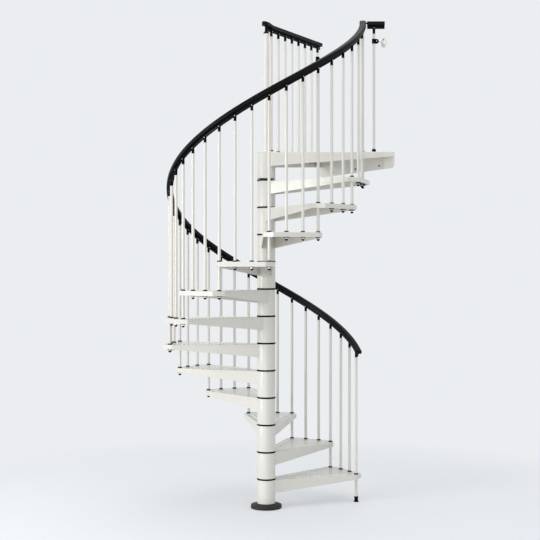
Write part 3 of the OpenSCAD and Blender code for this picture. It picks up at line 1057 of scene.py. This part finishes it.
# The end caps' sections: the head's outline without its ridge and groove, over a strip or a block
CAP_CROWN = [(25, 29.4), (25, 46.0), (24.4, 49.4), (22.6, 52.8), (20.0, 55.1), (16.4, 56.4),
             (11, 57), (5, 57)]
CAP_HEAD = [(3.2, 25), (20.8, 25), (23.4, 25.8), (24.6, 27.2)] + CAP_CROWN
CAP_HALF = STRIP_HALF + CAP_HEAD
CAP_BLOCK = [(0.02, 0), (3.0, 0), (5.0, 0.6), (24.4, 27.0)] + CAP_CROWN
END_CAP = 3.0 * MM

# Slope of the helix at the posts, and where its rail starts and ends, counted in posts
SLOPE = math.atan2(POST_RISE, POST_CIRCLE * POST_TURN)
PATH_PER_POST = POST_RISE / math.sin(SLOPE)
RAIL_FIRST = -0.32
RAIL_LAST = 36.25
RAIL_POINTS = 4 * LAST_POST + 1


def whole_section(half):
    return half + [(-u, v) for u, v in reversed(half)]


def section_mesh(half):
    """The section as a closed line in the XY plane, for the sweep, whose Y points down."""
    points = [Vector((u * MM, -v * MM, 0)) for u, v in whole_section(half)]
    mesh = bpy.data.meshes.new("section")
    n = len(points)
    mesh.from_pydata(points, [(i, (i + 1) % n) for i in range(n)], [])
    return mesh


def helix_sweep(half, first, last, points):
    return HELIX_RAIL.run(
        section_mesh(half), Points=points, Radius=POST_CIRCLE, Start_Turn=post_dir(first),
        Start_Height=post_top(first) + RAIL_GAP, Turn=POST_TURN * (last - first),
        Rise=POST_RISE * (last - first), Finish=rail_black)


def handrail():
    """The rail over the helix, with a thin cap on each end."""
    cap = END_CAP / PATH_PER_POST
    parts = [
        helix_sweep(RAIL_HALF, RAIL_FIRST + cap, RAIL_LAST - cap, RAIL_POINTS),
        helix_sweep(CAP_HALF, RAIL_FIRST, RAIL_FIRST + cap, 2),
        helix_sweep(CAP_HALF, RAIL_LAST - cap, RAIL_LAST, 2)]
    piece = new_piece("helix_handrail", merged(parts), rail_black, RAIL_SMOOTH)
    finish_piece(piece, "handrail", "handrail")


def reach_along(node, place):
    """How far a node reaches along a place's X, each way."""
    along = [(place.inverted() @ v.co).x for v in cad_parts[node].data.vertices]
    return min(along), max(along)


# Over the newel: where the level rail's head starts and stops rising, and where its strip ends
LIFT_FROM = 102 * MM
LIFT_TO = 24 * MM
LIFT_STEPS = 16
STRIP_SHORT = 12 * MM
NOSE_ANGLES = (84, 75, 64, 52, 40, 28, 15)


def landing_rail():
    """Level rail; over the newel its head rises and ends in a round nose, beyond its strip."""
    under = LANDING_POST_TOP + RAIL_GAP
    rise = top_of("landing_rail") - under - RAIL_H
    newel_s = -LINE_START.dot(Vector((math.cos(LINE_DIR), math.sin(LINE_DIR), 0)))
    end = reach_along("landing_rail", at_line_start(0))[1]
    lift_span = LIFT_FROM - LIFT_TO

    def lift(s):
        c = min(1.0, max(0.0, (s - newel_s - LIFT_TO) / lift_span))
        return rise * (1 - c * c * (3 - 2 * c))

    def ring(half, s, spread=1.0):
        return [Vector((s, -u * MM * spread, under + v * MM + lift(s)))
                for u, v in whole_section(half)]

    nose = [ring(HEAD_HALF, newel_s - RAIL_W / 2 * math.sin(a), math.cos(a))
            for a in [math.radians(d) for d in NOSE_ANGLES]]
    places = [newel_s + LIFT_TO + lift_span * i / LIFT_STEPS for i in range(LIFT_STEPS + 1)]
    bm = bmesh.new()
    loft(bm, nose + [ring(HEAD_HALF, s) for s in [newel_s, *places, end - END_CAP]])
    loft(bm, [ring(CAP_HEAD, end - END_CAP), ring(CAP_HEAD, end)])
    half_t = STRIP_T / 2
    strip = []
    for s in [newel_s + STRIP_SHORT, *places, end]:
        head_under = under + STRIP_H + lift(s) + 1 * MM
        strip.append([Vector((s, y, z)) for y, z in (
            (-half_t, under), (half_t, under), (half_t, head_under), (-half_t, head_under))])
    loft(bm, strip)
    bm.transform(at_line_start(0))
    piece = new_piece("landing_handrail", bm, rail_black, RAIL_SMOOTH)
    finish_piece(piece, "handrail", "landing_rail")


def straight_rail(bm, half, place, start, end):
    loft(bm, [[place @ Vector((x, -u * MM, v * MM)) for u, v in whole_section(half)]
              for x in (start, end)])


SLEEVE = 11 * MM
LINK = [(0, 0), (5.6, 0), (6, 0.5), (6, 9.5), (5.6, 10), (0, 10)]
LINK_T = 10 * MM
LINK_UP = 44 * MM


def near_rail():
    """The short rail, with a sleeve cap over each end, and the round link at its start."""
    start, end = reach_along("near_rail", at_near_post(0))
    place = at_near_post(NEAR_POST_TOP + NEAR_GAP)
    bm = bmesh.new()
    straight_rail(bm, RAIL_HALF, place, start + SLEEVE, end - SLEEVE)
    straight_rail(bm, CAP_BLOCK, place, start, start + SLEEVE)
    straight_rail(bm, CAP_BLOCK, place, end - SLEEVE, end)
    piece = new_piece("arrival_handrail", bm, rail_black, RAIL_SMOOTH)
    finish_piece(piece, "handrail", "near_rail")
    link_at = place @ Matrix.Translation((start - LINK_T, 0, LINK_UP)) @ rotation("Y", 90)
    turned_piece("arrival_rail_link", LINK, 24, fittings, "black_fittings", "near_rail_link",
                 place=link_at)


# Bracket: its radius, how far it reaches above the strip's underside, and half of its slot
BRACKET_R = 10.5
OVER_STRIP = 15
HALF_SLOT = 3.0
JAW_STEPS = 16
# Screw through the strip: its height above the strip's underside, how far it is sunk, its head
SCREW_UP = 7.5
SCREW_SUNK = 1.0
SCREW_HEAD = [(0, 0), (3.7, 0), (3.7, 1.3), (3.2, 1.9), (2.2, 2.2), (1.7, 2.2), (1.6, 1.2), (0, 1.2)]


def rail_bracket(bm, place, gap, slope=0.0):
    """A round bracket on a post's top, split by a slot for the rail's strip, which runs along Y."""
    r = BRACKET_R
    low = gap / MM - math.tan(slope) * r - 0.5
    top = gap / MM + OVER_STRIP
    lathe(bm, [(0, 0), (r - 0.3, 0), (r, 0.4), (r, 5.0), (r - 0.5, 5.5), (r - 0.5, 6.2),
               (r, 6.7), (r, low), (0, low)], 36, place)
    for side in (-1, 1):
        rings = []
        for z, shrink in ((low - 1, 0), (top - 1.2, 0), (top - 0.4, 0.4), (top, 1.3)):
            radius = r - shrink
            reach = math.acos(HALF_SLOT / radius)
            rings.append([place @ (Vector((side * radius * math.cos(a), radius * math.sin(a), z)) * MM)
                          for a in [reach * (2 * i / JAW_STEPS - 1) for i in range(JAW_STEPS + 1)]])
        loft(bm, rings)


def sloped_bracket(bm, place, gap):
    """A bracket whose slot is cut lower, for the strip of the sloping rail."""
    rail_bracket(bm, place, gap, SLOPE)


def bracket_screws(bm, place, gap):
    """A screw on each side of the bracket, through the rail's strip."""
    for side in (-1, 1):
        at = Matrix.Translation((side * (BRACKET_R - SCREW_SUNK) * MM, 0, gap + SCREW_UP * MM))
        lathe(bm, SCREW_HEAD, 20, place @ at @ rotation("Y", 90 * side))


def helix_fixings(name, shape, finish, slot, *nodes):
    """A shape on the top of every post of the helix."""
    bm = bmesh.new()
    for k in first_set():
        shape(bm, at_helix(k, post_top(k)), RAIL_GAP)
    bm = merged([up_the_stair(bm, finish)])
    shape(bm, at_helix(0, post_top(0)), RAIL_GAP)
    finish_piece(new_piece(name, bm, finish), slot, *nodes)


def landing_fixings(name, shape, finish, slot, *nodes):
    """A shape on the top of every post under the level rail and the short one."""
    bm = bmesh.new()
    shape(bm, at_line_start(LANDING_POST_TOP) @ ACROSS, RAIL_GAP)
    bm = merged([along_landing(bm, finish)])
    shape(bm, at_near_post(NEAR_POST_TOP) @ ACROSS, NEAR_GAP)
    finish_piece(new_piece(name, bm, finish), slot, *nodes)


def brackets():
    black, plated = (fittings, "black_fittings"), (steel, "bare_steel")
    helix_fixings("helix_rail_brackets", sloped_bracket, *black, "rail_brackets")
    landing_fixings("landing_rail_brackets", rail_bracket, *black, "landing_rail_brackets")
    helix_fixings("helix_rail_screws", bracket_screws, *plated)
    landing_fixings("landing_rail_screws", bracket_screws, *plated)


# ----------------------------------------------------------------------------- wall supports

# Clamp: how far it is below the post's top, its ring, and the lug between ring and knuckle
CLAMP_DOWN = 52
CLAMP_RING = [(11, -18), (14.7, -18), (15.5, -17.2), (15.5, 17.2), (14.7, 18), (11, 18)]
LUG_LOW, LUG_HIGH, LUG_EASE = (12, -7, -17), (22, 7, 17), 1.2
# Knuckle: its distance from the post, thickness, profile, and the heads of its screw
KNUCKLE_REACH = 20
KNUCKLE_T = 14
KNUCKLE = [(0, 0), (16.8, 0), (18, 1.2), (18, 12.8), (16.8, 14), (0, 14)]
KNUCKLE_SCREW = [(0, 0), (5, 0), (5, 1.6), (4.2, 2.8), (2.6, 3.3), (2.4, 1.4), (0, 1.4)]
# Rod: its radius, start in the clamp's directions, and how far it stops short of the wall
ROD_R = 4.5
ROD_START = (KNUCKLE_REACH + 15, 0, -2)
ROD_SHORT = 4
# Round plate on the wall, and its two screws: their circle, directions, seat and heads
WALL_DISC = [(0, 0), (39.4, 0), (40, 0.6), (40, 2.6), (38.5, 3.8), (34, 4.6), (16, 5.4), (12, 7.2),
             (9, 11), (7.4, 13.5), (0, 13.5)]
DISC_SCREW_CIRCLE = 25
DISC_SCREW_TILTS = (82, 262)
DISC_SCREW_SEAT = 4.6
DISC_SCREW = [(0, 0), (4.6, 0), (4.8, 0.5), (3.4, 1.6), (1.6, 1.9), (1.4, 0.9), (0, 0.9)]


def tie_places():
    """Where each clamp stands, with X towards its wall plate, and where that plate is."""
    low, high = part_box("wall_plates")
    plate_r = (high.z - low.z) / 2
    z = (high.z + low.z) / 2
    posts_at = (NEAR_POST_AT.to_3d(), LINE_START + LINE_STEP * (LANDING_POSTS - 1))
    for post_at, y in zip(posts_at, (low.y + plate_r, high.y - plate_r)):
        run = Vector((WALL_X, y)) - post_at.xy
        clamp = turned(math.atan2(run.y, run.x), post_at.x, post_at.y,
                       LANDING_POST_TOP - CLAMP_DOWN * MM)
        yield clamp, Vector((WALL_X, y, z))


def post_clamp(bm, clamp, knuckle):
    """A ring round the post, its lug, and the round knuckle that takes the rod."""
    lathe(bm, CLAMP_RING, 40, clamp)
    block(bm, LUG_LOW, LUG_HIGH, LUG_EASE, clamp)
    lathe(bm, KNUCKLE, 40, knuckle)


def knuckle_screws(bm, knuckle):
    """A screw head on each face of the knuckle."""
    lathe(bm, KNUCKLE_SCREW, 24, knuckle @ raised(KNUCKLE_T * MM))
    lathe(bm, KNUCKLE_SCREW, 24, knuckle @ rotation("X", 180))


def tie_rod(bm, start, end):
    run = end - start
    length = run.length / MM - ROD_SHORT
    rod = [(0, 0), (ROD_R, 0), (ROD_R, length), (0, length)]
    lathe(bm, rod, 24, Matrix.Translation(start) @ pointing(run))


def wall_disc_screws(bm, plate_at):
    for tilt in DISC_SCREW_TILTS:
        a = math.radians(tilt)
        y, z = DISC_SCREW_CIRCLE * math.cos(a), DISC_SCREW_CIRCLE * math.sin(a)
        at = Matrix.Translation(plate_at + Vector((-DISC_SCREW_SEAT, y, z)) * MM)
        lathe(bm, DISC_SCREW, 24, at @ FACING_ROOM)


def wall_supports():
    """Both ties from a post to the wall: a clamp, a rod and a round plate each."""
    clamps, rods, plates, screws, plate_screws = [bmesh.new() for _ in range(5)]
    for clamp, plate_at in tie_places():
        hub = Matrix.Translation(Vector((KNUCKLE_REACH, KNUCKLE_T / 2, 0)) * MM)
        knuckle = clamp @ hub @ rotation("X", 90)
        post_clamp(clamps, clamp, knuckle)
        knuckle_screws(screws, knuckle)
        tie_rod(rods, clamp @ (Vector(ROD_START) * MM), plate_at)
        lathe(plates, WALL_DISC, 64, Matrix.Translation(plate_at) @ FACING_ROOM)
        wall_disc_screws(plate_screws, plate_at)
    finish_piece(new_piece("post_clamps", clamps, fittings), "black_fittings", "wall_clamps")
    finish_piece(new_piece("tie_rods", rods, paint), "white_paint", "wall_rods")
    finish_piece(new_piece("round_wall_plates", plates, paint), "white_paint", "wall_plates")
    finish_piece(new_piece("clamp_screws", screws, steel), "bare_steel")
    finish_piece(new_piece("wall_plate_screws", plate_screws, dark_steel), "bare_steel")


# -------------------------------------------------------------------- camera, floor and light

# The view: how far the camera stands from the column, its height, its direction and its lens
VIEW_TURN = math.radians(-30)
CAMERA_BACK = 8.441
CAMERA_RIGHT = 0.0287
CAMERA_UP = 1.833
LENS = 72.6
SENSOR = 36.0
SHIFT_UP = 0.0018
FAR_CLIP = 200.0

MIDDLE_OF_STAIR = Vector((0, 0, 1.8))
BACKDROP = (0.83, 0.85, 0.88)
WORLD_FILL = (0.98, 0.98, 0.975)
WORLD_STRENGTH = 0.50

# Floor: how rough it is, where it fades out, and its glow where it is seen directly
FLOOR_ROUGHNESS = 0.6
FADE_FROM, FADE_TO = 2.2, 3.6
FLOOR_R = 4.0
FLOOR_GLOW = (0.96, 0.98, 1.0)
GLOW_STRENGTH = 0.355


def seen_from(right, forward, up):
    """A place given by the viewer's right and forward directions, about the column."""
    return Matrix.Rotation(VIEW_TURN, 4, "Z") @ Vector((right, forward, up))


def add_camera():
    data = bpy.data.cameras.new("camera")
    data.lens = LENS
    data.sensor_width = SENSOR
    data.shift_y = SHIFT_UP
    data.clip_end = FAR_CLIP
    camera = bpy.data.objects.new("camera", data)
    bpy.context.scene.collection.objects.link(camera)
    camera.location = seen_from(CAMERA_RIGHT, -CAMERA_BACK, CAMERA_UP)
    camera.rotation_euler = (math.radians(90), 0, VIEW_TURN)
    bpy.context.scene.camera = camera


def seen_directly(tree):
    """1 on rays from the camera, a mirror or glass, and 0 on rays that only carry light."""
    path = tree.node("ShaderNodeLightPath", output="Is Camera Ray")
    seen = path
    for kind in ("Is Glossy Ray", "Is Transmission Ray"):
        seen = tree.node(
            "ShaderNodeMath", {"operation": "MAXIMUM"}, {0: seen, 1: path.other(kind)})
    return seen


def add_world():
    """Soft white light all round; the camera and reflections see the pale backdrop."""
    world = bpy.data.worlds.new("world")
    bpy.context.scene.world = world
    world.use_nodes = True
    tree = Tree(world.node_tree)
    tree.nodes.clear()
    fill = tree.node(
        "ShaderNodeBackground", sockets={"Color": colour(WORLD_FILL), "Strength": WORLD_STRENGTH})
    pale = tree.node(
        "ShaderNodeBackground", sockets={"Color": colour(BACKDROP), "Strength": 1.0})
    both = tree.node("ShaderNodeMixShader", sockets={0: seen_directly(tree), 1: fill, 2: pale})
    tree.node("ShaderNodeOutputWorld", sockets={"Surface": both})


def add_floor():
    """A pale floor that fades out far away; where it is seen its shadows are lifted a little."""
    f = Finish("pale_floor")
    away = f.node("ShaderNodeVectorMath", {"operation": "LENGTH"}, {0: f.place}, output="Value")
    grain = f.noise(scale=3.0, detail=4.0)
    full = f.blend(grain, colour((0.85, 0.86, 0.87)), colour((0.88, 0.89, 0.90)))
    part = f.blend(grain, colour((0.50, 0.52, 0.55)), colour((0.52, 0.54, 0.57)))
    lighting = f.node(
        "ShaderNodeBsdfPrincipled", sockets={"Base Color": full, "Roughness": FLOOR_ROUGHNESS})
    shown = f.node("ShaderNodeBsdfPrincipled", sockets={
        "Base Color": part, "Roughness": FLOOR_ROUGHNESS, "Emission Color": colour(FLOOR_GLOW),
        "Emission Strength": GLOW_STRENGTH})
    matte = f.node(
        "ShaderNodeMixShader", sockets={0: seen_directly(f), 1: lighting, 2: shown})
    clear = f.node("ShaderNodeBsdfTransparent")
    fade = f.between(away, FADE_FROM, FADE_TO)
    mix = f.node("ShaderNodeMixShader", sockets={0: fade, 1: matte, 2: clear})
    f.node("ShaderNodeOutputMaterial", sockets={"Surface": mix})
    bm = bmesh.new()
    bmesh.ops.create_circle(bm, cap_ends=True, segments=96, radius=FLOOR_R)
    floor = new_piece("floor", bm, f.material)


def add_lamp(name, place, size, power, tint=(1.0, 1.0, 1.0)):
    """A soft rectangular lamp that faces the middle of the stair."""
    data = bpy.data.lights.new(name, "AREA")
    data.shape = "RECTANGLE"
    data.size, data.size_y = size
    data.energy = power
    data.color = tint
    lamp = bpy.data.objects.new(name, data)
    bpy.context.scene.collection.objects.link(lamp)
    lamp.location = place
    lamp.rotation_euler = (MIDDLE_OF_STAIR - place).to_track_quat("-Z", "Y").to_euler()


def light_the_scene():
    add_lamp("key_softbox", seen_from(-5.8, -2.9, 2.7), size=(2.0, 3.0), power=190,
             tint=(1.0, 0.99, 0.97))
    add_lamp("front_fill", seen_from(-2.4, -6.4, 1.9), size=(4.5, 4.0), power=85,
             tint=(1.0, 0.99, 0.98))
    add_lamp("top_softbox", seen_from(0.5, -0.5, 6.2), size=(4.0, 4.0), power=100)
    add_lamp("right_fill", seen_from(5.0, -3.0, 2.4), size=(3.0, 4.0), power=20,
             tint=(0.95, 0.98, 1.0))


# -------------------------------------------------------------------------------- everything

add_camera()
add_world()
light_the_scene()
add_floor()
bpy.context.scene.view_settings.view_transform = "Standard"

base_plate()
treads()
landing()
wall_bolts()
studs()
spacer_rings()
base_cover()
newel()
newel_cap()
helix_posts()
other_posts()
floor_post_foot()
sockets()
collars()
nuts()
handrail()
landing_rail()
near_rail()
brackets()
wall_supports()
